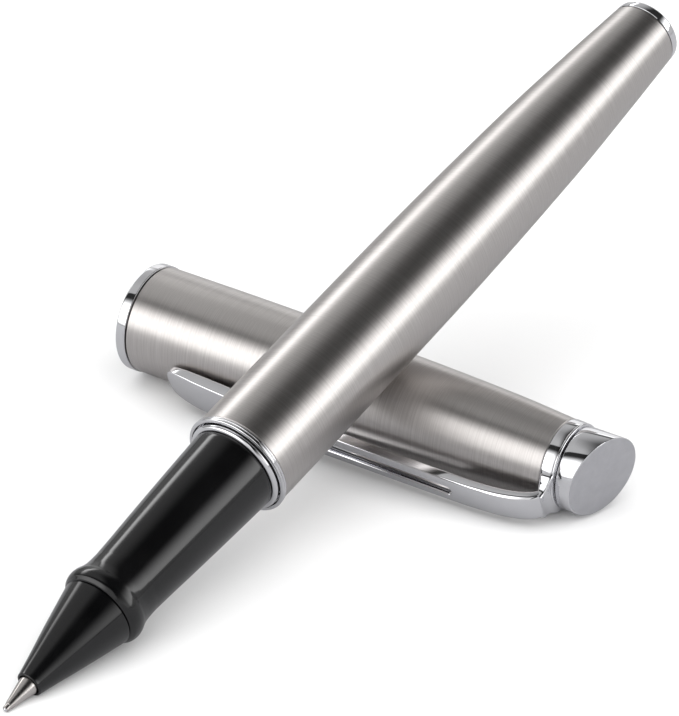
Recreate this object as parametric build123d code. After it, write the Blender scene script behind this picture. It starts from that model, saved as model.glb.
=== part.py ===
"""Rollerball pen lying uncapped across its own cap.

Every piece is drawn in the frame of the assembly it belongs to, then placed in the shared frame:
the pen's own Z runs from the ball to the tail, the cap's own Z runs from its mouth to the finial
and the cap's own X points out through the clip. All sizes are in millimetres.
The shared frame has +Z up, the table at Z = 0 and its origin at the bottom centre of the whole.
"""

from build123d import *
import math
import os

# --- how the two halves lie ------------------------------------------------------------------
PEN_TILT = 15.47          # rise of the pen's axis from ball to tail, degrees
CAP_TILT = 1.44           # fall of the cap's axis from mouth to finial, degrees
CAP_HEADING = 3.35        # plan angle of the cap's axis from +X, degrees
CLIP_ROLL = 21.0          # how far the clip points below the horizontal, degrees
PEN_TIP = (2.56, -59.546, 0.144)    # point of the pen's axis at the front of the ball, before tilting
CAP_MOUTH = (-31.39, 5.09, 6.889)  # centre of the cap's mouth

# --- refill ----------------------------------------------------------------------------------
BALL_R = 0.25
SOCKET_R = 0.27
INK_R = 0.10
STEM_R = 1.00
REFILL_R = 3.05
REFILL_WALL = 0.30
REFILL_END = 110.6        # standard rollerball refill length
NOSE_PLUG_END = 28.0

# --- section (the part that is held) ---------------------------------------------------------
OPENING_S = 4.04          # front rim of the nose cone
OPENING_R = 1.46
SEAM_S = 15.73            # joint between nose cone and grip
SEAM_R = 4.32
FLARE_R = 4.86            # rounded bead at the front of the grip
GRIP_END_S = 39.67
GRIP_END_R = 5.28
SECTION_BORE = 3.15
INSERT_R = 4.30
STUB_R = 4.50             # threaded stub the barrel screws on to
STUB_END = 48.0

# --- barrel ----------------------------------------------------------------------------------
BARREL_S = 41.02
BARREL_R = 6.20
TAIL_S = 121.58
TAIL_R = 4.37
PEN_LENGTH = 123.0
BARREL_WALL = 0.55
BEAD_R = 6.39
THREAD_GAP = 0.05         # radial running clearance of the barrel thread
SPRING_R = 2.35
SPRING_WIRE = 0.28
SPRING_TURNS = 5
SPRING_END = 117.5

# --- cap -------------------------------------------------------------------------------------
LIP_R = 6.50
LIP_W = 1.37
CAP_R = 6.38
CAP_WALL = 0.45
COLLAR_T = 56.95
COLLAR_END = 58.70
COLLAR_R = 5.06
FINIAL_T = 58.85
FINIAL_R = 4.87
FINIAL_MID = 62.05        # where the slanted face crosses the cap's axis
FINIAL_SLANT = 17.0
SCREW_R = 1.50
SCREW_HEAD_R = 2.60

# --- clip ------------------------------------------------------------------------------------
CLIP_OUT = 8.65           # outer face of the strip from the cap's axis
CLIP_THICK = 0.95
CLIP_WIDTH = 3.60
SPOON_WIDTH = 4.90
CLIP_TIP_T = 8.0
CLIP_ROOT = (6.62, 57.80)      # centre of the rounded root, the line it flexes about
CLIP_ROOT_R = 0.46
SLOT_WIDTH = 1.10
SLOT_FROM = 21.0
SLOT_TO = 47.5

FIT = 0.02                # gap between pieces that are pressed or glued together


def ring_points(*points):
    """Points given as (radius, station), as vertices in the XZ plane."""
    return [(r, 0, z) for r, z in points]


def turned(edges):
    """A solid of revolution about Z from a closed set of edges in the XZ plane."""
    return revolve(make_face(edges), Axis.Z, 360)


def lathe(*points):
    """A solid of revolution from a polygon of (radius, station) points."""
    return turned(Polyline(*ring_points(*points), close=True))


def curved_tube(outer, inner):
    """A turned tube whose outside and inside are smooth curves through (radius, station) points."""
    outside = Spline(*ring_points(*outer))
    inside = Spline(*ring_points(*inner))
    front = Line(outside @ 0, inside @ 0)
    back = Line(outside @ 1, inside @ 1)
    return turned([outside, back, inside, front])


def inset(profile, wall):
    """The same stations with the radius reduced by a wall thickness."""
    return [(r - wall, z) for r, z in profile]


def softened(solid, stations, radius, limit=0.0):
    """Round the circular edges that lie at the given stations and outside a limiting radius."""
    for station in stations:
        rims = [
            edge
            for edge in solid.edges().filter_by(GeomType.CIRCLE)
            if abs(edge.arc_center.Z - station) < 1e-3 and edge.radius > limit
        ]
        solid = fillet(rims, radius)
    return solid


# --- pieces of the refill --------------------------------------------------------------------
def tip_ball():
    return Pos(0, 0, BALL_R) * Sphere(BALL_R)


def tip_cone():
    body = lathe(
        (0, 0.15), (0.31, 0.15), (0.36, 0.24), (0.38, 0.66), (0.44, 0.76), (1.17, 3.70),
        (1.20, 4.10), (1.20, 5.20), (STEM_R, 5.25), (STEM_R, 9.0), (0, 9.0),
    )
    socket = Pos(0, 0, BALL_R) * Sphere(SOCKET_R)
    channel = Pos(0, 0, 4.9) * Cylinder(INK_R, 8.6)
    return body - socket - channel


def refill_nose():
    return lathe(
        (STEM_R + FIT, 5.40), (1.20, 5.40), (1.24, 5.60), (1.24, 8.20), (1.90, 8.90),
        (1.90, 13.40), (3.00, 15.40), (3.00, 23.98),
        (REFILL_R - REFILL_WALL - FIT, 23.98), (REFILL_R - REFILL_WALL - FIT, NOSE_PLUG_END),
        (0.90, NOSE_PLUG_END), (0.90, 9.10), (STEM_R + FIT, 9.10),
    )


def refill_tube():
    return lathe(
        (REFILL_R - REFILL_WALL, 24.0), (REFILL_R, 24.0), (REFILL_R, 109.0), (REFILL_R - REFILL_WALL, 109.0)
    )


def ink_reservoir():
    radius = REFILL_R - REFILL_WALL - 0.05
    return lathe((0, 28.3), (radius, 28.3), (radius, 103.0), (0, 103.0))


def refill_end_plug():
    inner = REFILL_R - REFILL_WALL - FIT
    return lathe(
        (0, 103.6), (inner - 0.3, 103.6), (inner, 103.9), (inner, 109.02), (REFILL_R, 109.02),
        (REFILL_R, 110.2), (REFILL_R - 0.4, REFILL_END), (0, REFILL_END),
    )


# --- pieces of the section -------------------------------------------------------------------
def nose_cone():
    outside = ThreePointArc((OPENING_R, 0, OPENING_S + 0.12), (2.92, 0, 9.9), (SEAM_R, 0, SEAM_S - 0.04))
    rest = Polyline(
        *ring_points(
            (SEAM_R, SEAM_S - 0.04), (4.20, SEAM_S), (3.62, SEAM_S), (3.62, 19.9), (3.40, 20.1),
            (3.07, 20.1), (3.07, 15.45), (1.95, 13.45), (1.95, 8.75), (1.30, 8.05),
            (1.30, OPENING_S), (OPENING_R - 0.06, OPENING_S), (OPENING_R, OPENING_S + 0.12),
        )
    )
    return turned([outside, rest])


def grip_section():
    bead = ThreePointArc((SEAM_R - 0.06, 0, SEAM_S + 0.02), (FLARE_R, 0, 17.0), (4.50, 0, 18.25))
    waist = Spline(
        *ring_points((4.50, 18.25), (4.29, 20.6), (4.62, 26.2), (4.98, 32.6), (GRIP_END_R, GRIP_END_S)),
        tangents=[(-0.55, 0, 0.84), (0.05, 0, 1)],
    )
    rest = Polyline(
        *ring_points(
            (GRIP_END_R, GRIP_END_S), (INSERT_R + FIT, GRIP_END_S), (INSERT_R + FIT, 29.9),
            (SECTION_BORE, 29.9), (SECTION_BORE, 20.2), (3.64, 20.2), (3.64, SEAM_S + 0.02),
            (SEAM_R - 0.06, SEAM_S + 0.02),
        )
    )
    return turned([bead, waist, rest])


def section_insert():
    return lathe(
        (SECTION_BORE, 30.0), (INSERT_R, 30.0), (INSERT_R, GRIP_END_S + 0.01),
        (STUB_R, GRIP_END_S + 0.01), (STUB_R, STUB_END - 0.3), (STUB_R - 0.3, STUB_END),
        (SECTION_BORE, STUB_END),
    )


def section_ring():
    ring = lathe(
        (STUB_R + FIT, GRIP_END_S + 0.03), (5.42, GRIP_END_S + 0.03), (5.42, 40.15), (STUB_R + FIT, 40.15)
    )
    return softened(ring, (GRIP_END_S + 0.03, 40.15), 0.10, limit=5.0)


def thread_washer():
    """Soft ring between the section's shoulder and the barrel's thread, dragged round by the barrel."""
    return revolve(Plane.XZ * Pos(4.98, 40.68) * Circle(0.41), Axis.Z, 360)


# --- pieces of the barrel --------------------------------------------------------------------
BARREL_PROFILE = [(BARREL_R, BARREL_S), (6.20, 58.0), (6.09, 80.0), (5.59, 100.0), (4.97, 112.0), (TAIL_R, TAIL_S)]


def barrel_tube():
    return curved_tube(BARREL_PROFILE, inset(BARREL_PROFILE, BARREL_WALL))


def barrel_mouth_ring():
    front = ThreePointArc((5.62, 0, 40.10), (6.02, 0, 40.08), (6.16, 0, 40.22))
    step = Line((6.16, 0, 40.22), (6.22, 0, 40.24))
    bead = ThreePointArc((6.22, 0, 40.24), (BEAD_R, 0, 40.56), (6.22, 0, 40.92))
    rest = Polyline(
        *ring_points(
            (6.22, 40.92), (6.14, 40.96), (6.14, BARREL_S - FIT), (5.63, BARREL_S - FIT),
            (5.63, 43.0), (5.10, 43.0), (5.10, 41.22), (5.50, 41.16), (5.50, 40.20), (5.62, 40.10),
        )
    )
    return turned([front, step, bead, rest])


def barrel_liner():
    bore = STUB_R + THREAD_GAP
    return lathe(
        (bore, 41.30), (5.08, 41.30), (5.08, 43.05), (5.63, 43.05), (5.63, 50.2), (bore, 50.2)
    )


def barrel_spring():
    path = Helix(
        pitch=(SPRING_END - REFILL_END - 2 * SPRING_WIRE - 0.1) / SPRING_TURNS,
        height=SPRING_END - REFILL_END - 2 * SPRING_WIRE - 0.1,
        radius=SPRING_R,
    )
    wire = Plane(origin=path @ 0, z_dir=path % 0) * Circle(SPRING_WIRE)
    coil = sweep(wire, path=path, is_frenet=True)
    return Pos(0, 0, REFILL_END + SPRING_WIRE + 0.05) * coil


def tail_plug():
    return lathe(
        (0, 118.6), (2.0, 118.6), (2.0, SPRING_END + 0.05), (3.55, SPRING_END + 0.05), (3.78, 117.9),
        (3.78, TAIL_S - 0.02), (3.33, TAIL_S - 0.02), (3.33, 122.55), (3.05, 122.75), (0, 122.86),
    )


def tail_band():
    edge = ThreePointArc((TAIL_R - 0.03, 0, 122.35), (4.14, 0, 122.82), (3.70, 0, PEN_LENGTH))
    rest = Polyline(
        *ring_points(
            (3.70, PEN_LENGTH), (3.45, 122.9), (3.35, 122.7), (3.35, TAIL_S + 0.04),
            (TAIL_R - 0.09, TAIL_S + 0.04), (TAIL_R - 0.03, TAIL_S + 0.14), (TAIL_R - 0.03, 122.35),
        )
    )
    return turned([edge, rest])


# --- pieces of the cap -----------------------------------------------------------------------
CAP_PROFILE = [(CAP_R, LIP_W + 0.06), (6.39, 13.2), (6.26, 25.0), (5.8075, 43.0), (5.52, 50.0), (5.06, COLLAR_T - 0.06)]


def bowed_line(profile):
    """Arc, straight cone and arc through six (radius, station) points."""
    p = ring_points(*profile)
    return [ThreePointArc(p[0], p[1], p[2]), Line(p[2], p[3]), ThreePointArc(p[3], p[4], p[5])]


def cap_tube():
    """Gently bowed tube with a straight cone in the middle, the part the cap lies on."""
    outside = bowed_line(CAP_PROFILE)
    inside = bowed_line(inset(CAP_PROFILE, CAP_WALL))
    front = Line(outside[0] @ 0, inside[0] @ 0)
    back = Line(outside[2] @ 1, inside[2] @ 1)
    return turned([*outside, back, *inside, front])


def cap_lip_ring():
    ring = lathe(
        (5.60, 0), (LIP_R, 0), (LIP_R, LIP_W), (CAP_R - CAP_WALL - FIT - 0.01, LIP_W),
        (CAP_R - CAP_WALL - FIT - 0.01, 5.0), (5.60, 5.0),
    )
    ring = softened(ring, (0,), 0.30, limit=6.0)
    return softened(ring, (LIP_W,), 0.10, limit=6.2)


def cap_snap_ring():
    """Sprung ring inside the mouth that clicks over the section."""
    half_gap = 0.7
    ring = lathe((5.45, 5.9), (5.62, 5.1), (5.88, 5.1), (5.88, 7.4), (5.62, 7.4), (5.45, 6.6))
    return ring - Pos(5.7, 0, 6.2) * Box(1.4, 2 * half_gap, 3.0)


def inner_cap():
    return lathe(
        (4.98, 18.0), (5.42, 18.0), (5.42, 34.0), (4.30, 54.5), (4.30, 56.8), (SCREW_R + FIT, 56.8),
        (SCREW_R + FIT, 44.0), (SCREW_HEAD_R + 0.05, 44.0), (SCREW_HEAD_R + 0.05, 42.2), (3.4, 42.2),
        (4.55, 30.0), (4.98, 28.0),
    )


def cap_screw():
    return lathe(
        (0, 42.5), (SCREW_HEAD_R - 0.2, 42.5), (SCREW_HEAD_R, 42.7), (SCREW_HEAD_R, 43.98),
        (SCREW_R, 43.98), (SCREW_R, 59.6), (SCREW_R - 0.3, 59.9), (0, 59.9),
    ) - Pos(0, 0, 42.5) * Box(4.0, 0.6, 1.0)


def clip_collar():
    ring = lathe(
        (SCREW_R + FIT, COLLAR_T), (COLLAR_R, COLLAR_T), (COLLAR_R, COLLAR_END), (SCREW_R + FIT, COLLAR_END)
    )
    ring = softened(ring, (COLLAR_T, COLLAR_END), 0.12, limit=4.0)
    lug_length = CLIP_ROOT[0] - CLIP_ROOT_R - 0.05 - 4.0
    lug = Pos(4.0 + lug_length / 2, 0, CLIP_ROOT[1]) * Box(lug_length, CLIP_WIDTH, 0.92)
    return ring + lug


def finial():
    drum = lathe(
        (0, FINIAL_T - 0.12), (FINIAL_R - 0.25, FINIAL_T - 0.12), (FINIAL_R - 0.25, FINIAL_T),
        (FINIAL_R - 0.08, FINIAL_T), (FINIAL_R, FINIAL_T + 0.08), (FINIAL_R, 65.0), (0, 65.0),
    )
    above = Pos(0, 0, FINIAL_MID) * Rot(0, FINIAL_SLANT, 0) * Pos(0, 0, 5.0) * Box(20, 20, 10)
    drum = drum - above
    slanted = [edge for edge in drum.edges() if edge.center().Z > FINIAL_MID - 2 and edge.length > 20]
    drum = chamfer(slanted, 0.10)
    return drum - Pos(0, 0, 59.2) * Cylinder(SCREW_R + FIT, 1.6)


def clip_side():
    """Side view of the clip: X runs out from the cap, Y along it."""
    root_x, root_z = CLIP_ROOT
    tip = CLIP_TIP_T
    inside = CLIP_OUT - CLIP_THICK
    toe = ThreePointArc((6.95, tip), (8.00, tip + 2.0), (8.42, tip + 5.6))
    outer = ThreePointArc(toe @ 1, (8.66, 34.0), (CLIP_OUT, 54.3))
    bend = ThreePointArc(outer @ 1, (8.02, 57.30), (root_x, root_z + CLIP_ROOT_R))
    root = ThreePointArc(bend @ 1, (root_x - CLIP_ROOT_R, root_z), (root_x, root_z - CLIP_ROOT_R))
    inner_bend = ThreePointArc(root @ 1, (7.36, 56.45), (inside, 54.3))
    inner = ThreePointArc(inner_bend @ 1, (7.72, 34.0), (7.42, tip + 5.6))
    sole = ThreePointArc(inner @ 1, (6.92, tip + 3.0), (6.50, tip + 0.9))
    nose = ThreePointArc(sole @ 1, (6.58, tip + 0.2), toe @ 0)
    return make_face([toe, outer, bend, root, inner_bend, inner, sole, nose])


def clip_outline():
    """Front view of the clip: a rounded tongue that narrows to the strip behind it."""
    tip = CLIP_TIP_T
    half = SPOON_WIDTH / 2
    strip = CLIP_WIDTH / 2
    front = ThreePointArc((half, tip + 2.6), (0, tip - 0.05), (-half, tip + 2.6))
    rest = Polyline(
        (-half, tip + 2.6), (-half, tip + 5.5), (-strip, 27.0), (-strip, 60.0), (strip, 60.0), (strip, 27.0),
        (half, tip + 5.5), (half, tip + 2.6),
    )
    return make_face([front, rest])


def clip_arm():
    side = extrude(Plane.XZ * clip_side(), SPOON_WIDTH, both=True)
    front = extrude(Plane.YZ * clip_outline(), 12)
    arm = side & front
    slot_mid = (SLOT_FROM + SLOT_TO) / 2
    slot_length = SLOT_TO - SLOT_FROM
    slot = Pos(8.2, 0, slot_mid) * Rot(0, 90, 0) * extrude(SlotOverall(slot_length, SLOT_WIDTH), 2, both=True)
    return arm - slot


# --- placing ---------------------------------------------------------------------------------
def pen_frame():
    tilt = math.radians(PEN_TILT)
    along = Vector(0, math.cos(tilt), math.sin(tilt))
    start = Vector(*PEN_TIP) + Vector(0, 0, BALL_R) - along * BALL_R
    return Plane(origin=start, x_dir=(1, 0, 0), z_dir=along)


def cap_frame():
    fall = math.radians(CAP_TILT)
    heading = math.radians(CAP_HEADING)
    roll = math.radians(CLIP_ROLL)
    along = Vector(
        math.cos(heading) * math.cos(fall), math.sin(heading) * math.cos(fall), -math.sin(fall)
    )
    level = Vector(0, 0, 1).cross(along).normalized()
    upward = along.cross(level)
    clip_way = level * -math.cos(roll) - upward * math.sin(roll)
    return Plane(origin=CAP_MOUTH, x_dir=clip_way, z_dir=along)


PEN_PIECES = [
    tip_ball, tip_cone, refill_nose, refill_tube, ink_reservoir, refill_end_plug,
    nose_cone, grip_section, section_insert, section_ring, thread_washer,
    barrel_mouth_ring, barrel_tube, barrel_liner, barrel_spring, tail_plug, tail_band,
]
CAP_PIECES = [cap_tube, cap_lip_ring, cap_snap_ring, inner_cap, cap_screw, clip_collar, clip_arm, finial]


def build():
    os.makedirs("parts", exist_ok=True)
    whole = []
    for frame, pieces in ((pen_frame(), PEN_PIECES), (cap_frame(), CAP_PIECES)):
        for piece in pieces:
            solid = frame.location * piece()
            solid.label = piece.__name__
            export_step(solid, f"parts/{piece.__name__}.step")
            whole.append(solid)
    extent = Compound(children=whole).bounding_box()
    print("low", extent.min, "high", extent.max)


build()
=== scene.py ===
"""Looks for the rollerball pen that lies across its cap. Metres, in the frame of the CAD.

Every turned piece is drawn as a fine profile spun about its own axis. Stations and radii are written
in millimetres in the pen's own frame (from the ball to the tail) or the cap's (from mouth to finial).
"""

import math

import bmesh
import bpy
from mathutils import Matrix, Vector


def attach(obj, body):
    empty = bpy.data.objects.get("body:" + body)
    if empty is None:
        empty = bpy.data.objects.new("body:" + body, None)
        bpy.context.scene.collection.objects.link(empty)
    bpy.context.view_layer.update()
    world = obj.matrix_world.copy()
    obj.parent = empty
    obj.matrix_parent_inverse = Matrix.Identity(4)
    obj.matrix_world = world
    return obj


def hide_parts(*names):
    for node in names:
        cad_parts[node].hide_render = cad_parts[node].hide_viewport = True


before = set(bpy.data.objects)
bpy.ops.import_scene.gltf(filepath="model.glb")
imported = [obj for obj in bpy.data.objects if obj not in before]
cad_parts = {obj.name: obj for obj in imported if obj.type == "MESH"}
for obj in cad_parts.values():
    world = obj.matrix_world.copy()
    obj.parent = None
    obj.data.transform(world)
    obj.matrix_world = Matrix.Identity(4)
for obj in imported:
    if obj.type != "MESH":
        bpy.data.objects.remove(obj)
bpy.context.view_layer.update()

MM = 0.001
SEGMENTS = 192
TUBE_SEGMENTS = 256
SEAM = math.radians(-90)  # where the wrapped coordinates start: on the underside

# --- the two axes, in millimetres and degrees, as in the CAD ----------------------------------
PEN_TILT = math.radians(15.47)
PEN_TIP = Vector((2.56, -59.546, 0.144))
BALL_R = 0.25
CAP_MOUTH = Vector((-31.39, 5.09, 6.889))
CAP_FALL = math.radians(1.44)
CAP_HEADING = math.radians(3.35)
CLIP_ROLL = math.radians(21.0)


def axes_matrix(origin, x_axis, z_axis):
    """Frame in metres whose local unit is the millimetre."""
    z_axis = z_axis.normalized()
    x_axis = (x_axis - z_axis * x_axis.dot(z_axis)).normalized()
    y_axis = z_axis.cross(x_axis)
    turn = Matrix((x_axis, y_axis, z_axis)).transposed().to_4x4()
    return Matrix.Translation(origin * MM) @ turn @ Matrix.Scale(MM, 4)


PEN_AXIS = Vector((0.0, math.cos(PEN_TILT), math.sin(PEN_TILT)))
PEN = axes_matrix(PEN_TIP + Vector((0, 0, BALL_R)) - PEN_AXIS * BALL_R, Vector((1, 0, 0)), PEN_AXIS)

CAP_AXIS = Vector(
    (
        math.cos(CAP_HEADING) * math.cos(CAP_FALL),
        math.sin(CAP_HEADING) * math.cos(CAP_FALL),
        -math.sin(CAP_FALL),
    )
)
LEVEL = Vector((0, 0, 1)).cross(CAP_AXIS).normalized()
UPWARD = CAP_AXIS.cross(LEVEL)
CLIP_WAY = -LEVEL * math.cos(CLIP_ROLL) - UPWARD * math.sin(CLIP_ROLL)
CAP = axes_matrix(CAP_MOUTH, CLIP_WAY, CAP_AXIS)


# --- profile helpers --------------------------------------------------------------------------
def arc(centre, radius, start, end, steps=8):
    """Points of an arc in the (radius, station) plane, angles in degrees."""
    points = []
    for i in range(steps + 1):
        a = math.radians(start + (end - start) * i / steps)
        points.append((centre[0] + radius * math.cos(a), centre[1] + radius * math.sin(a)))
    return points


def smooth_curve(knots, steps=10):
    """Catmull-Rom curve through (radius, station) knots."""
    out = []
    for i in range(len(knots) - 1):
        p0 = Vector(knots[max(i - 1, 0)])
        p1 = Vector(knots[i])
        p2 = Vector(knots[i + 1])
        p3 = Vector(knots[min(i + 2, len(knots) - 1)])
        span = p2[1] - p1[1]
        m1 = (p2 - p0) / max(p2[1] - p0[1], 1e-9) * span
        m2 = (p3 - p1) / max(p3[1] - p1[1], 1e-9) * span
        for k in range(steps):
            t = k / steps
            h = (
                p1 * (2 * t**3 - 3 * t**2 + 1)
                + m1 * (t**3 - 2 * t**2 + t)
                + p2 * (-2 * t**3 + 3 * t**2)
                + m2 * (t**3 - t**2)
            )
            out.append((h[0], h[1]))
    out.append(tuple(knots[-1]))
    return out


def circle(radius, station, segments=SEGMENTS, start=0.0):
    """Points of a ring round the local axis."""
    turns = [start + 2 * math.pi * i / segments for i in range(segments)]
    return [(radius * math.cos(a), radius * math.sin(a), station) for a in turns]


def skin(bm, rings):
    """Smooth quads between neighbouring rings with the same number of vertices."""
    for a, b in zip(rings, rings[1:]):
        for i in range(len(a)):
            k = (i + 1) % len(a)
            bm.faces.new((a[i], a[k], b[k], b[i])).smooth = True


def close_ends(bm, rings):
    bm.faces.new(rings[0])
    bm.faces.new(rings[-1][::-1])


def finished_mesh(bm, name, where, sharp):
    """Mesh from a bmesh, moved from its local frame, with edges over the sharp angle kept crisp."""
    bmesh.ops.recalc_face_normals(bm, faces=bm.faces)
    bm.transform(where)
    mesh = bpy.data.meshes.new(name)
    bm.to_mesh(mesh)
    bm.free()
    mesh.set_sharp_from_angle(angle=math.radians(sharp))
    return mesh


def add_object(name, mesh, material, body, nodes):
    obj = bpy.data.objects.new(name, mesh)
    bpy.context.scene.collection.objects.link(obj)
    if material:
        mesh.materials.append(material)
    if nodes:
        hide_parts(*nodes)
    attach(obj, body)
    return obj


def lathe(name, profile, where, material, body, nodes=(), segments=SEGMENTS, sharp=32.0, closed=True):
    """Spins a closed (radius, station) outline about the axis, with UV x round the axis and y along it."""
    bm = bmesh.new()
    uv = bm.loops.layers.uv.new("wrap")
    rings = []
    for r, z in profile:
        points = circle(r, z, segments, SEAM) if r > 0 else [(0, 0, z)]
        rings.append([bm.verts.new(point) for point in points])
    count = len(rings)
    travelled = [0.0]
    for (r0, z0), (r1, z1) in zip(profile, profile[1:]):
        travelled.append(travelled[-1] + math.hypot(r1 - r0, z1 - z0))
    last = count if closed else count - 1
    for j in range(last):
        a, b = rings[j], rings[(j + 1) % count]
        va = travelled[j]
        vb = travelled[j + 1] if j + 1 < count else travelled[j]
        for i in range(segments):
            k = (i + 1) % segments
            u0, u1 = i / segments, (i + 1) / segments
            if len(a) == 1 and len(b) == 1:
                continue
            if len(a) == 1:
                face = bm.faces.new((a[0], b[k], b[i]))
                uvs = ((u0, va), (u1, vb), (u0, vb))
            elif len(b) == 1:
                face = bm.faces.new((a[i], a[k], b[0]))
                uvs = ((u0, va), (u1, va), (u0, vb))
            else:
                face = bm.faces.new((a[i], a[k], b[k], b[i]))
                uvs = ((u0, va), (u1, va), (u1, vb), (u0, vb))
            face.smooth = True
            for loop, value in zip(face.loops, uvs):
                loop[uv].uv = value
    add_object(name, finished_mesh(bm, name, where, sharp), material, body, nodes)


# --- materials --------------------------------------------------------------------------------
def new_material(name):
    mat = bpy.data.materials.new(name)
    mat.use_nodes = True
    tree = mat.node_tree
    tree.nodes.clear()
    out = tree.nodes.new("ShaderNodeOutputMaterial")
    bsdf = tree.nodes.new("ShaderNodeBsdfPrincipled")
    tree.links.new(bsdf.outputs["BSDF"], out.inputs["Surface"])
    return mat, tree, bsdf


def stretched_noise(tree, scale, detail=3.0, coordinate="UV"):
    """Noise on the wrapped coordinates, drawn out by a different scale each way."""
    coords = tree.nodes.new("ShaderNodeTexCoord")
    mapping = tree.nodes.new("ShaderNodeMapping")
    mapping.inputs["Scale"].default_value = scale
    noise = tree.nodes.new("ShaderNodeTexNoise")
    noise.inputs["Scale"].default_value = 1.0
    noise.inputs["Detail"].default_value = detail
    noise.inputs["Roughness"].default_value = 0.6
    tree.links.new(coords.outputs[coordinate], mapping.inputs["Vector"])
    tree.links.new(mapping.outputs["Vector"], noise.inputs["Vector"])
    return noise.outputs["Fac"]


def ramp(tree, value, stops):
    node = tree.nodes.new("ShaderNodeValToRGB")
    elements = node.color_ramp.elements
    while len(elements) > 1:
        elements.remove(elements[-1])
    for i, (position, colour) in enumerate(stops):
        element = elements[0] if i == 0 else elements.new(position)
        element.position = position
        element.color = (*colour, 1.0) if len(colour) == 3 else (colour[0],) * 3 + (1.0,)
    tree.links.new(value, node.inputs["Fac"])
    return node.outputs["Color"]


def map_range(tree, value, low, high):
    node = tree.nodes.new("ShaderNodeMapRange")
    node.inputs["To Min"].default_value = low
    node.inputs["To Max"].default_value = high
    tree.links.new(value, node.inputs["Value"])
    return node.outputs["Result"]


def bump(tree, bsdf, height, strength, distance):
    node = tree.nodes.new("ShaderNodeBump")
    node.inputs["Strength"].default_value = strength
    node.inputs["Distance"].default_value = distance
    tree.links.new(height, node.inputs["Height"])
    tree.links.new(node.outputs["Normal"], bsdf.inputs["Normal"])


def brushed_round(name, dark, light, rough, anisotropy):
    """Steel brushed round the tube: grain lines circle the axis, highlights run along it."""
    mat, tree, bsdf = new_material(name)
    grain = stretched_noise(tree, (4.0, 9.0, 1.0), detail=6.0)
    cloud = stretched_noise(tree, (3.0, 0.06, 1.0), detail=2.0)
    colour = ramp(tree, grain, [(0.30, dark), (0.70, light)])
    tree.links.new(colour, bsdf.inputs["Base Color"])
    bsdf.inputs["Metallic"].default_value = 1.0
    mixed = tree.nodes.new("ShaderNodeMath")
    mixed.operation = "ADD"
    tree.links.new(map_range(tree, grain, rough - 0.05, rough + 0.05), mixed.inputs[0])
    tree.links.new(map_range(tree, cloud, -0.02, 0.02), mixed.inputs[1])
    tree.links.new(mixed.outputs[0], bsdf.inputs["Roughness"])
    bsdf.inputs["Anisotropic"].default_value = anisotropy
    tangent = tree.nodes.new("ShaderNodeTangent")
    tangent.direction_type = "UV_MAP"
    tangent.uv_map = "wrap"
    tree.links.new(tangent.outputs["Tangent"], bsdf.inputs["Tangent"])
    bsdf.inputs["Anisotropic Rotation"].default_value = 0.25
    bump(tree, bsdf, grain, 0.25, 0.000004)
    return mat


def polished(name, colour, rough=0.05):
    """Plated trim: nearly a mirror, with faint polishing swirls and smudges."""
    mat, tree, bsdf = new_material(name)
    smudge = stretched_noise(tree, (260.0, 260.0, 260.0), detail=3.0, coordinate="Object")
    tint = [tuple(c * 0.96 for c in colour), colour]
    tree.links.new(ramp(tree, smudge, [(0.35, tint[0]), (0.65, tint[1])]), bsdf.inputs["Base Color"])
    tree.links.new(map_range(tree, smudge, rough * 0.6, rough * 1.6), bsdf.inputs["Roughness"])
    bsdf.inputs["Metallic"].default_value = 1.0
    return mat


def gloss_black(name):
    """Polished black lacquer with a faint haze."""
    mat, tree, bsdf = new_material(name)
    haze = stretched_noise(tree, (180.0, 180.0, 180.0), detail=2.0, coordinate="Object")
    colour = ramp(tree, haze, [(0.3, (0.0015, 0.0015, 0.0017)), (0.7, (0.003, 0.003, 0.0033))])
    tree.links.new(colour, bsdf.inputs["Base Color"])
    tree.links.new(map_range(tree, haze, 0.12, 0.20), bsdf.inputs["Roughness"])
    bsdf.inputs["IOR"].default_value = 1.45
    bsdf.inputs["Coat Weight"].default_value = 0.3
    bsdf.inputs["Coat Roughness"].default_value = 0.03
    return mat


def plain(name, dark, light, rough, metallic=0.0, grain=(300.0, 300.0, 300.0), height=0.00001):
    """Inner parts: moulded, turned or drawn, with fine mottling and a little relief."""
    mat, tree, bsdf = new_material(name)
    fine = stretched_noise(tree, grain, detail=4.0, coordinate="Object")
    tree.links.new(ramp(tree, fine, [(0.3, dark), (0.7, light)]), bsdf.inputs["Base Color"])
    tree.links.new(map_range(tree, fine, rough * 0.8, rough * 1.2), bsdf.inputs["Roughness"])
    bsdf.inputs["Metallic"].default_value = metallic
    bump(tree, bsdf, fine, 0.3, height)
    return mat


BODY_STEEL = brushed_round("brushed_body", (0.50, 0.475, 0.46), (0.66, 0.635, 0.62), 0.37, 0.55)
TIP_STEEL = brushed_round("satin_tip", (0.56, 0.53, 0.51), (0.66, 0.63, 0.61), 0.24, 0.4)
CHROME = polished("chrome_trim", (0.80, 0.80, 0.82))
FINE_GRAIN = (900.0, 900.0, 900.0)
FIBRES = (900.0, 900.0, 60.0)
SATIN = plain("satin_face", (0.60, 0.60, 0.625), (0.66, 0.66, 0.685), 0.42, 1.0, FINE_GRAIN, 0.000003)
BLACK = gloss_black("black_gloss")
BRASS = brushed_round("turned_brass", (0.62, 0.46, 0.20), (0.78, 0.62, 0.32), 0.25, 0.4)
PLASTIC = plain("moulded_plastic", (0.018, 0.018, 0.02), (0.035, 0.035, 0.04), 0.4)
RUBBER = plain("soft_seal", (0.01, 0.01, 0.01), (0.02, 0.02, 0.02), 0.7)
FELT = plain("ink_felt", (0.01, 0.01, 0.02), (0.03, 0.03, 0.05), 0.9, grain=FIBRES, height=0.00005)
SPRING = plain("spring_wire", (0.45, 0.45, 0.46), (0.62, 0.62, 0.63), 0.25, 1.0)


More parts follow.
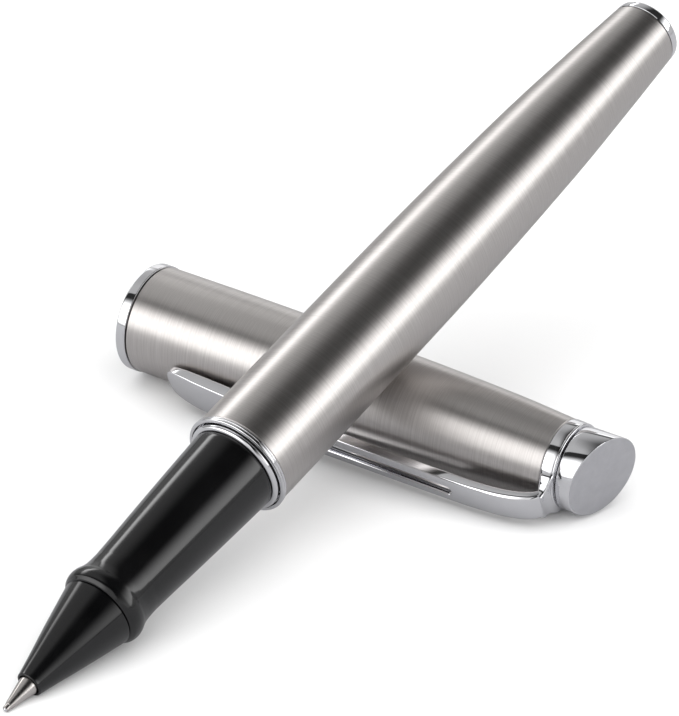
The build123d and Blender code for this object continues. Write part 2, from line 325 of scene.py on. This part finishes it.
# --- outlines shared by several pieces --------------------------------------------------------
BARREL_KNOTS = [(6.20, 41.16), (6.205, 58.0), (6.09, 80.0), (5.59, 100.0), (4.97, 112.0), (4.375, 121.46)]
CAP_KNOTS = [(6.385, 1.56), (6.39, 13.2), (6.26, 25.0), (6.045, 34.0), (5.80, 43.0), (5.52, 50.0)]
CAP_KNOTS += [(5.075, 56.82)]
COLLAR_MIDDLE = 57.82
FINIAL_SLOPE = math.tan(math.radians(17.0))


def shell(knots, wall, lip=0.08):
    """Outline of a thin tube whose outside runs through the knots, with softened ends."""
    outside = smooth_curve(knots, 14)
    first, last = outside[0], outside[-1]
    inside = [(r - wall, z) for r, z in outside]
    return (
        [(first[0] - wall, first[1] - lip), (first[0] - lip, first[1] - lip)]
        + outside
        + [(last[0] - lip, last[1] + lip), (last[0] - wall, last[1] + lip)]
        + inside[::-1]
    )


# --- the pen ----------------------------------------------------------------------------------
def build_refill_front():
    ball = [(0.0, 0.0)] + arc((0.0, BALL_R), BALL_R, -84, 84, 20) + [(0.0, 2 * BALL_R)]
    lathe("writing_ball", ball, PEN, CHROME, "ball", ("tip_ball",), segments=48, closed=False)
    cone = [(0.26, 0.17), (0.28, 0.145), (0.31, 0.15), (0.345, 0.20), (0.36, 0.27), (0.375, 0.64)]
    cone += [(0.39, 0.69), (0.43, 0.73), (0.45, 0.79)]
    cone += [(1.08, 3.70), (1.12, 3.90), (1.13, 4.12), (1.13, 5.18), (1.10, 5.24), (1.00, 5.28)]
    cone += [(1.00, 9.0), (0.10, 9.0), (0.10, 0.55), (0.20, 0.50), (0.27, 0.30)]
    lathe("writing_cone", cone, PEN, TIP_STEEL, "section", ("tip_cone",), segments=96)


def build_section():
    nose = arc((1.38, 4.20), 0.15, 200, 360, 10)
    nose += smooth_curve([(1.535, 4.28), (2.19, 7.0), (2.94, 9.9), (3.64, 12.8), (4.28, 15.55)], 10)
    nose += [(4.30, 15.64), (4.24, 15.71), (4.10, 15.73), (3.62, 15.73), (3.62, 19.9), (3.40, 20.1)]
    nose += [(3.07, 20.1), (3.07, 15.45), (1.95, 13.45), (1.95, 8.75), (1.30, 8.05)]
    nose += [(1.30, 4.60), (1.25, 4.40)]
    lathe("nose_cone_black", nose, PEN, BLACK, "section", ("nose_cone",))

    grip = [(3.64, 15.78), (4.16, 15.78), (4.30, 15.82), (4.42, 15.90)]
    bead = [(4.42, 15.90), (4.72, 16.28), (4.86, 16.90), (4.78, 17.50), (4.56, 18.10), (4.37, 19.00)]
    grip += smooth_curve(bead + [(4.30, 20.60)], 8)
    grip += smooth_curve([(4.30, 20.60), (4.44, 23.4), (4.62, 26.4), (4.95, 32.6), (5.27, 39.50)], 12)[1:]
    grip += [(5.24, 39.60), (5.16, 39.66), (4.34, 39.66), (4.34, 29.9), (3.15, 29.9)]
    grip += [(3.15, 20.2), (3.64, 20.2)]
    lathe("grip_black", grip, PEN, BLACK, "section", ("grip_section",))

    ring = [(4.54, 39.70), (5.26, 39.70)] + arc((5.30, 40.15), 0.48, -80, 0, 10)
    ring += [(5.76, 40.20), (5.50, 40.21), (5.46, 40.18), (4.54, 40.18)]
    lathe("section_trim_ring", ring, PEN, CHROME, "section", ("section_ring",))

    build_thread()
    lathe("soft_washer", arc((4.98, 40.68), 0.41, 0, 345, 23), PEN, RUBBER, "washer", ("thread_washer",))


def helix_points(radius, depth, pitch, start, end, segments):
    """Rows of a screw thread: the radius rises and falls with the station and the turn angle."""
    rows = []
    steps = int((end - start) / pitch * 12)
    for j in range(steps + 1):
        z = start + (end - start) * j / steps
        fade = min(1.0, (z - start) / pitch, (end - z) / pitch)
        row = []
        for i in range(segments):
            a = 2 * math.pi * i / segments
            phase = (z / pitch - i / segments) % 1.0
            crest = 0.5 - 0.5 * math.cos(2 * math.pi * phase)
            r = radius - depth * fade * (1.0 - crest**0.6)
            row.append((r * math.cos(a), r * math.sin(a), z))
        rows.append(row)
    return rows


def build_thread():
    """The section's brass insert, with the screw thread the barrel runs on."""
    segments = 96
    below_thread = [(3.17, 30.0), (4.30, 30.0), (4.30, 39.62), (4.50, 39.69), (4.50, 41.3)]
    above_thread = [(4.50, 47.7), (4.22, 48.0), (3.17, 48.0)]
    bm = bmesh.new()
    uv = bm.loops.layers.uv.new("wrap")
    rows = [circle(r, z, segments) for r, z in below_thread]
    rows += helix_points(4.50, 0.34, 1.0, 41.4, 47.6, segments)
    rows += [circle(r, z, segments) for r, z in above_thread]
    verts = [[bm.verts.new(p) for p in row] for row in rows]
    for j in range(len(verts)):
        a, b = verts[j], verts[(j + 1) % len(verts)]
        for i in range(segments):
            k = (i + 1) % segments
            face = bm.faces.new((a[i], a[k], b[k], b[i]))
            face.smooth = True
            for loop, value in zip(face.loops, ((i, j), (i + 1, j), (i + 1, j + 1), (i, j + 1))):
                loop[uv].uv = (value[0] / segments, value[1] * 0.1)
    mesh = finished_mesh(bm, "threaded_insert", PEN, 40)
    add_object("threaded_insert", mesh, BRASS, "section", ("section_insert",))


def build_barrel():
    tube = shell(BARREL_KNOTS, 0.55)
    lathe("barrel_brushed", tube, PEN, BODY_STEEL, "barrel", ("barrel_tube",), segments=TUBE_SEGMENTS)

    ring = [(5.52, 40.62), (5.82, 40.62), (5.88, 40.38), (5.96, 40.29), (6.10, 40.27), (6.20, 40.32)]
    ring += arc((6.12, 40.51), 0.24, -50, 40, 8)
    ring += [(6.27, 40.70), (6.26, 40.73), (6.29, 40.76)]
    ring += arc((6.18, 40.86), 0.14, -30, 60, 6)
    ring += [(6.18, 41.00), (6.10, 41.01), (5.64, 41.01), (5.64, 43.0), (5.12, 43.0)]
    ring += [(5.12, 41.22), (5.52, 41.16)]
    lathe("barrel_bead_ring", ring, PEN, CHROME, "barrel", ("barrel_mouth_ring",))

    liner = [(4.56, 41.38), (4.66, 41.30), (5.06, 41.30), (5.06, 43.05), (5.62, 43.07)]
    liner += [(5.62, 50.2), (4.56, 50.2)]
    lathe("barrel_thread_liner", liner, PEN, BRASS, "barrel", ("barrel_liner",), segments=96)

    band = [(3.38, 121.66), (4.22, 121.66), (4.30, 121.68), (4.345, 121.74)]
    band += smooth_curve([(4.345, 121.74), (4.345, 122.10), (4.31, 122.42)], 4)[1:]
    band += arc((3.80, 122.48), 0.50, 5, 80, 10)
    band += [(3.70, 122.985), (3.58, 122.95), (3.50, 122.88), (3.38, 122.74)]
    lathe("tail_polished_band", band, PEN, CHROME, "barrel", ("tail_band",))

    plug = [(0.0, 118.6), (2.0, 118.6), (2.0, 117.6), (3.55, 117.6), (3.78, 117.9), (3.78, 121.54)]
    plug += [(3.34, 121.56), (3.34, 122.56), (3.24, 122.66), (3.05, 122.70)]
    plug += [(2.0, 122.79), (1.0, 122.84), (0.0, 122.86)]
    lathe("tail_end_disc", plug, PEN, SATIN, "barrel", ("tail_plug",), closed=False)


# --- the cap ----------------------------------------------------------------------------------
def build_cap_tube():
    tube = shell(CAP_KNOTS, 0.45)
    lathe("cap_brushed", tube, CAP, BODY_STEEL, "cap", ("cap_tube",), segments=TUBE_SEGMENTS)

    lip = [(5.62, 0.12), (5.70, 0.03), (5.85, 0.0), (6.22, 0.0)]
    lip += arc((6.22, 0.28), 0.28, -80, 0, 7)
    lip += [(6.50, 0.60), (6.50, 1.22)]
    lip += arc((6.38, 1.22), 0.12, 10, 90, 5)
    lip += [(6.24, 1.36), (5.90, 1.38), (5.90, 5.0), (5.62, 5.0)]
    lathe("cap_lip_polished", lip, CAP, CHROME, "cap", ("cap_lip_ring",))

    inner = [(4.98, 18.1), (5.06, 18.0), (5.34, 18.0), (5.42, 18.1), (5.42, 34.0), (4.30, 54.5), (4.30, 56.8)]
    inner += [(1.52, 56.8), (1.52, 44.0), (2.65, 44.0), (2.65, 42.2), (3.4, 42.2), (4.55, 30.0), (4.98, 28.0)]
    lathe("inner_cap_sleeve", inner, CAP, PLASTIC, "cap", ("inner_cap",), segments=96)


def build_snap_ring():
    """Sprung ring inside the mouth: a narrow band with a gap."""
    outline = [(5.46, 5.9), (5.62, 5.1), (5.86, 5.12), (5.88, 5.3)]
    outline += [(5.88, 7.2), (5.86, 7.38), (5.62, 7.4), (5.46, 6.6)]
    segments = 120
    gap = 7.0  # degrees either side of the split
    bm = bmesh.new()
    rings = []
    for i in range(segments + 1):
        a = math.radians(gap + (360 - 2 * gap) * i / segments)
        rings.append([bm.verts.new((r * math.cos(a), r * math.sin(a), z)) for r, z in outline])
    skin(bm, rings)
    close_ends(bm, rings)
    mesh = finished_mesh(bm, "snap_spring_ring", CAP, 25)
    add_object("snap_spring_ring", mesh, SPRING, "cap", ("cap_snap_ring",))


def build_finial():
    """Polished drum whose satin end is cut at a slant, low on the clip's side."""
    square = [(0.0, 58.75), (4.55, 58.75), (4.60, 58.78), (4.62, 58.86), (4.74, 58.88), (4.83, 58.92)]
    square += [(4.87, 59.00), (4.87, 59.6)]
    slanted_rim = [(4.87, 61.98), (4.85, 62.03)]
    slanted_face = [(4.80, 62.06), (4.74, 62.07), (4.2, 62.07), (2.1, 62.07), (0.0, 62.07)]
    rows = [(r, z, 0) for r, z in square] + [(r, z, 1) for r, z in slanted_rim + slanted_face]
    face_start = len(square) + len(slanted_rim)
    bm = bmesh.new()
    uv = bm.loops.layers.uv.new("wrap")
    rings = []
    for r, z, slanted in rows:
        points = circle(r, z) if r > 0 else [(0.0, 0.0, z)]
        rings.append([bm.verts.new((x, y, z - slanted * FINIAL_SLOPE * x)) for x, y, z in points])
    for j in range(len(rings) - 1):
        a, b = rings[j], rings[j + 1]
        for i in range(SEGMENTS):
            k = (i + 1) % SEGMENTS
            if len(a) == 1:
                face = bm.faces.new((a[0], b[k], b[i]))
            elif len(b) == 1:
                face = bm.faces.new((a[i], a[k], b[0]))
            else:
                face = bm.faces.new((a[i], a[k], b[k], b[i]))
            face.smooth = True
            face.material_index = 1 if j >= face_start else 0
            for loop in face.loops:
                co = loop.vert.co
                loop[uv].uv = (math.atan2(co.y, co.x) / (2 * math.pi) + 0.5, co.z)
    mesh = finished_mesh(bm, "finial_slanted", CAP, 40)
    obj = add_object("finial_slanted", mesh, CHROME, "cap", ("finial",))
    obj.data.materials.append(SATIN)


def clip_section(half_y, half_t, corner, dome):
    """Rounded rectangle in (y, t), anticlockwise, domed outside and a little wider inside."""
    corner = min(corner, half_y * 0.98, half_t * 0.98)
    flat = half_y - corner
    points = []
    for i in range(7):
        a = math.radians(90 * i / 6)
        points.append((flat + corner * math.cos(a), half_t - corner + corner * math.sin(a)))
    for i in range(1, 10):
        points.append((flat * (1 - i / 5), half_t))
    for way, start in ((-1, 90), (-1, 180), (1, 270)):
        side = -1 if start >= 180 else 1
        for i in range(7):
            a = math.radians(start + 90 * i / 6)
            y = way * flat + corner * math.cos(a)
            points.append((y, side * (half_t - corner) + corner * math.sin(a)))
    belly = 0.06 * half_t
    shaped = []
    for y, t in points:
        widened = y + math.copysign(belly * (1 - (t / half_t)) * min(1.0, abs(y) / half_y), y)
        shaped.append((widened, t - dome * (y / half_y) ** 2 if t > 0 else t))
    return shaped


def swept(bm, stations):
    """Closed skin over stations: (x, z, angle, half width, half thickness, corner, dome)."""
    rings = []
    for x, z, angle, half_y, half_t, corner, dome in stations:
        nx, nz = math.cos(angle), math.sin(angle)
        outline = clip_section(half_y, half_t, corner, dome)
        rings.append([bm.verts.new((x + nx * t, y, z + nz * t)) for y, t in outline])
    skin(bm, rings)
    close_ends(bm, rings)


def curve_stations(knots, steps):
    """Smooth stations, square to the path, through (x, z, half width, half thickness, corner, dome)."""
    dense = []
    for i in range(len(knots) - 1):
        p = [knots[max(i - 1, 0)], knots[i], knots[i + 1], knots[min(i + 2, len(knots) - 1)]]
        for k in range(steps):
            t = k / steps
            point = []
            for a, b, d, e in zip(*p):
                squared = (2 * a - 5 * b + 4 * d - e) * t * t
                cubed = (3 * b - a - 3 * d + e) * t**3
                point.append(0.5 * (2 * b + (d - a) * t + squared + cubed))
            dense.append(point)
    dense.append(list(knots[-1]))
    stations = []
    for i, (x, z, *shape) in enumerate(dense):
        x0, z0 = dense[max(i - 1, 0)][:2]
        x1, z1 = dense[min(i + 1, len(dense) - 1)][:2]
        angle = math.atan2(x0 - x1, z1 - z0)
        stations.append((x, z, angle, *shape))
    return stations


def apply_boolean(obj, tool, operation):
    modifier = obj.modifiers.new("cut", "BOOLEAN")
    modifier.operation = operation
    modifier.solver = "EXACT"
    modifier.object = tool
    graph = bpy.context.evaluated_depsgraph_get()
    result = bpy.data.meshes.new_from_object(obj.evaluated_get(graph))
    obj.modifiers.clear()
    obj.data = result
    bpy.data.objects.remove(tool)


def temporary(bm, name):
    bmesh.ops.recalc_face_normals(bm, faces=bm.faces)
    mesh = bpy.data.meshes.new(name)
    bm.to_mesh(mesh)
    bm.free()
    obj = bpy.data.objects.new(name, mesh)
    bpy.context.scene.collection.objects.link(obj)
    return obj


def slot_cutter():
    """Long round-ended hole with a small chamfer where it meets the clip's outer face."""
    start, end, half = 21.0, 47.5, 0.62
    levels = [(6.5, 0.0), (8.48, 0.0), (8.58, 0.03), (8.66, 0.11), (8.90, 0.36)]  # (height, widening)
    bm = bmesh.new()
    loops = []
    for x, grow in levels:
        r = half + grow
        loop = []
        for i in range(25):
            a = math.radians(-90 + 180 * i / 24)
            loop.append(bm.verts.new((x, r * math.sin(a), end - half + r * math.cos(a))))
        for i in range(25):
            a = math.radians(90 + 180 * i / 24)
            loop.append(bm.verts.new((x, r * math.sin(a), start + half + r * math.cos(a))))
        loops.append(loop)
    skin(bm, loops)
    close_ends(bm, loops)
    return temporary(bm, "slot_tool")


def finish_metal(obj, name, body, nodes, material):
    obj.name = name
    obj.data.name = name
    obj.data.transform(CAP)
    for polygon in obj.data.polygons:
        polygon.use_smooth = True
    obj.data.set_sharp_from_angle(angle=math.radians(38))
    obj.data.materials.clear()
    obj.data.materials.append(material)
    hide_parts(*nodes)
    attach(obj, body)


def build_clip():
    """The spring clip: rounded tongue, long slotted strip and a full bend back to the collar."""
    knots = [
        (6.98, 7.98, 0.50, 0.30, 0.16, 0.02), (7.00, 8.04, 0.95, 0.40, 0.18, 0.03),
        (7.05, 8.28, 1.45, 0.46, 0.20, 0.04), (7.15, 8.80, 1.86, 0.52, 0.20, 0.05),
        (7.31, 9.80, 2.18, 0.58, 0.20, 0.06), (7.50, 11.3, 2.38, 0.66, 0.20, 0.08),
        (7.70, 13.6, 2.43, 0.74, 0.20, 0.10), (7.84, 19.0, 2.22, 0.77, 0.20, 0.09),
        (7.97, 27.0, 1.92, 0.69, 0.20, 0.08),
        (8.04, 40.0, 1.84, 0.63, 0.20, 0.08), (8.04, 48.0, 1.84, 0.63, 0.26, 0.10),
        (7.96, 51.0, 1.86, 0.66, 0.36, 0.14), (7.76, 53.4, 1.90, 0.70, 0.46, 0.16),
        (7.36, 55.4, 1.92, 0.70, 0.52, 0.14), (6.86, 56.7, 1.90, 0.66, 0.50, 0.08),
        (6.34, 57.45, 1.86, 0.56, 0.44, 0.02), (5.90, 57.75, 1.84, 0.48, 0.38, 0.0),
    ]
    bm = bmesh.new()
    swept(bm, curve_stations(knots, 8))
    arm = temporary(bm, "clip_strip")
    apply_boolean(arm, slot_cutter(), "DIFFERENCE")
    finish_metal(arm, "clip_strip", "clip", ("clip_arm",), CHROME)


def build_collar():
    """Polished ring under the finial that swells outward to meet the clip."""
    outline = [(1.52, 56.93), (4.80, 56.93), (4.98, 56.95)] + arc((5.0, 57.07), 0.12, -80, 0, 6)
    outline += [(5.12, 57.25), (5.10, 57.8), (5.05, 58.22), (5.02, 58.32)]
    outline += arc((4.90, 58.48), 0.17, -20, 85, 7) + [(4.80, 58.68), (1.52, 58.68)]
    bm = bmesh.new()
    rings = [[bm.verts.new(point) for point in circle(r, z)] for r, z in outline]
    skin(bm, rings + rings[:1])
    collar = temporary(bm, "clip_collar_ring")
    # (distance from the axis, half width, half thickness, corner)
    root = [(3.6, 3.1, 0.80, 0.40), (4.4, 2.95, 0.80, 0.40), (4.9, 2.60, 0.72, 0.38)]
    root += [(5.3, 2.20, 0.62, 0.36), (5.7, 1.95, 0.53, 0.36), (6.1, 1.84, 0.47, 0.36)]
    root += [(6.5, 1.80, 0.45, 0.34)]
    bm = bmesh.new()
    swept(bm, curve_stations([(x, COLLAR_MIDDLE, *shape, 0.0) for x, *shape in root], 6))
    apply_boolean(collar, temporary(bm, "root_tool"), "UNION")
    finish_metal(collar, "clip_collar_ring", "cap", ("clip_collar",), CHROME)


# --- pieces shown as the CAD has them ---------------------------------------------------------
CARRIED = {
    "refill_nose": PLASTIC,
    "refill_tube": SPRING,
    "ink_reservoir": FELT,
    "refill_end_plug": PLASTIC,
    "barrel_spring": SPRING,
    "cap_screw": SPRING,
}


def dress_carried():
    for node, material in CARRIED.items():
        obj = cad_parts[node]
        obj.data.materials.clear()
        obj.data.materials.append(material)


build_refill_front()
build_section()
build_barrel()
build_cap_tube()
build_snap_ring()
build_finial()
build_clip()
build_collar()
dress_carried()


# --- table, light and camera ------------------------------------------------------------------
CAMERA_HEADING = math.radians(37.3)
CAMERA_HEIGHT = math.radians(29.5)
CAMERA_ROLL = math.radians(-0.4)
CAMERA_TARGET = Vector((-3.0, 5.0, 10.8))
CAMERA_DISTANCE = 470.0
LENS_MM = 219.6

LEVEL_BACK = Vector((math.sin(CAMERA_HEADING), -math.cos(CAMERA_HEADING), 0.0))
CAMERA_BACK = LEVEL_BACK * math.cos(CAMERA_HEIGHT) + Vector((0.0, 0.0, math.sin(CAMERA_HEIGHT)))


def build_floor():
    """Pale table, a little dimmer to mirror rays so that the polished trim keeps its contrast."""
    bm = bmesh.new()
    bmesh.ops.create_grid(bm, x_segments=1, y_segments=1, size=3.0)
    mesh = bpy.data.meshes.new("table_top")
    bm.to_mesh(mesh)
    bm.free()
    floor = bpy.data.objects.new("table_top", mesh)
    bpy.context.scene.collection.objects.link(floor)
    mat, tree, bsdf = new_material("pale_table")
    haze = stretched_noise(tree, (9.0, 9.0, 9.0), detail=2.0, coordinate="Object")
    shade = ramp(tree, haze, [(0.3, (0.86, 0.86, 0.86)), (0.7, (0.88, 0.88, 0.88))])
    path = tree.nodes.new("ShaderNodeLightPath")
    dim = tree.nodes.new("ShaderNodeMix")
    dim.data_type = "RGBA"
    tree.links.new(path.outputs["Is Glossy Ray"], dim.inputs["Factor"])
    tree.links.new(shade, dim.inputs["A"])
    dim.inputs["B"].default_value = (0.43, 0.43, 0.44, 1.0)
    tree.links.new(dim.outputs["Result"], bsdf.inputs["Base Color"])
    bsdf.inputs["Roughness"].default_value = 0.9
    bsdf.inputs["Specular IOR Level"].default_value = 0.1
    mesh.materials.append(mat)


def build_overhead():
    """Large soft light above the table. The world draws what mirrors see, so it is hidden from them."""
    light = bpy.data.lights.new("overhead_soft", "AREA")
    light.shape = "SQUARE"
    light.size = 2.0
    light.energy = 23.0
    obj = bpy.data.objects.new("overhead_soft", light)
    bpy.context.scene.collection.objects.link(obj)
    way = Vector((0.35, -0.25, 1.0)).normalized()
    turn = way.to_track_quat("Z", "Y").to_matrix().to_4x4()
    obj.matrix_world = Matrix.Translation(way * 1.1) @ turn
    obj.visible_glossy = False


# Soft strips of light that lie along the pen and along the cap. Each one covers a span of degrees
# round the axis, where 0 is the way back to the camera: (start, end, fade before, fade after, power).
PEN_LIGHTS = {
    "left_strip": (-106, -101, 4, 10, 4.5),
    "left_glow": (-112, -96, 45, 60, 0.5),
    "right_sweep": (44, 48, 42, 1, 3.0),
    "right_wall": (49, 150, 2, 30, 0.55),
}
CAP_LIGHTS = {
    "high_strip": (-160, -119, 15, 2, 1.1),
    "high_wall": (-108, -35, 3, 2, 0.5),
    "front_strip": (0, 28, 24, 10, 2.4),
    "low_wall": (43, 165, 3, 10, 0.6),
}
DIMMEST = 0.03


def math_node(tree, operation, first, second=None, clamp=False):
    node = tree.nodes.new("ShaderNodeMath")
    node.operation = operation
    node.use_clamp = clamp
    for socket, value in zip(node.inputs, (first, second)):
        if isinstance(value, (int, float)):
            socket.default_value = value
        elif value is not None:
            tree.links.new(value, socket)
    return node.outputs[0]


def rescale(tree, value, from_low, from_high, to_low, to_high):
    node = tree.nodes.new("ShaderNodeMapRange")
    node.interpolation_type = "SMOOTHSTEP"
    node.inputs["From Min"].default_value = from_low
    node.inputs["From Max"].default_value = from_high
    node.inputs["To Min"].default_value = to_low
    node.inputs["To Max"].default_value = to_high
    tree.links.new(value, node.inputs["Value"])
    return node.outputs["Result"]


def along(tree, direction, axis):
    """How far a direction points along an axis."""
    dot = tree.nodes.new("ShaderNodeVectorMath")
    dot.operation = "DOT_PRODUCT"
    tree.links.new(direction, dot.inputs[0])
    dot.inputs[1].default_value = axis
    return dot.outputs["Value"]


def strips_round(tree, direction, axis, lights):
    """Brightness of the strips round one axis."""
    facing = (CAMERA_BACK - axis * CAMERA_BACK.dot(axis)).normalized()
    side = axis.cross(facing)
    turn = math_node(tree, "ARCTAN2", along(tree, direction, side), along(tree, direction, facing))
    total = DIMMEST
    for start, end, before, after, power in lights.values():
        rise = rescale(tree, turn, math.radians(start - before), math.radians(start), 0.0, power)
        fall = rescale(tree, turn, math.radians(end), math.radians(end + after), 1.0, 0.0)
        total = math_node(tree, "ADD", math_node(tree, "MULTIPLY", rise, fall), total)
    return total


def mirrored_nearness(tree, direction, axis):
    """1 for the directions that the tube on this axis mirrors to the camera, falling off to 0."""
    gap = math_node(tree, "ADD", along(tree, direction, axis), CAMERA_BACK.dot(axis))
    size = math_node(tree, "ABSOLUTE", gap)
    return math_node(tree, "SUBTRACT", 1.0, math_node(tree, "DIVIDE", size, 0.9), clamp=True)


def build_world():
    """Studio surroundings: soft strips along the pen and along the cap, dimmer everywhere else."""
    world = bpy.data.worlds.new("studio")
    bpy.context.scene.world = world
    world.use_nodes = True
    tree = world.node_tree
    tree.nodes.clear()
    out = tree.nodes.new("ShaderNodeOutputWorld")
    background = tree.nodes.new("ShaderNodeBackground")
    tree.links.new(background.outputs[0], out.inputs["Surface"])
    direction = tree.nodes.new("ShaderNodeTexCoord").outputs["Generated"]

    pen = strips_round(tree, direction, PEN_AXIS, PEN_LIGHTS)
    cap = strips_round(tree, direction, CAP_AXIS, CAP_LIGHTS)
    near_pen = mirrored_nearness(tree, direction, PEN_AXIS)
    near_cap = mirrored_nearness(tree, direction, CAP_AXIS)
    share = math_node(tree, "DIVIDE", near_cap, math_node(tree, "ADD", near_pen, near_cap), clamp=True)
    mix = tree.nodes.new("ShaderNodeMix")
    tree.links.new(rescale(tree, share, 0.35, 0.65, 0.0, 1.0), mix.inputs["Factor"])
    tree.links.new(pen, mix.inputs["A"])
    tree.links.new(cap, mix.inputs["B"])
    tree.links.new(mix.outputs["Result"], background.inputs["Color"])
    nearest = math_node(tree, "MAXIMUM", near_pen, near_cap)
    tree.links.new(rescale(tree, nearest, 0.35, 0.75, 0.35, 1.0), background.inputs["Strength"])


def build_camera():
    data = bpy.data.cameras.new("photo_angle")
    data.lens = LENS_MM
    data.sensor_width = 36.0
    data.sensor_fit = "HORIZONTAL"
    data.clip_start = 0.01
    data.clip_end = 20.0
    camera = bpy.data.objects.new("photo_angle", data)
    bpy.context.scene.collection.objects.link(camera)
    level = Vector((0, 0, 1)).cross(CAMERA_BACK).normalized()
    up = CAMERA_BACK.cross(level)
    right = level * math.cos(CAMERA_ROLL) + up * math.sin(CAMERA_ROLL)
    turn = Matrix((right, CAMERA_BACK.cross(right), CAMERA_BACK)).transposed().to_4x4()
    place = (CAMERA_TARGET + CAMERA_BACK * CAMERA_DISTANCE) * MM
    camera.matrix_world = Matrix.Translation(place) @ turn
    bpy.context.scene.camera = camera


build_floor()
build_world()
build_overhead()
build_camera()
bpy.context.scene.view_settings.view_transform = "Standard"
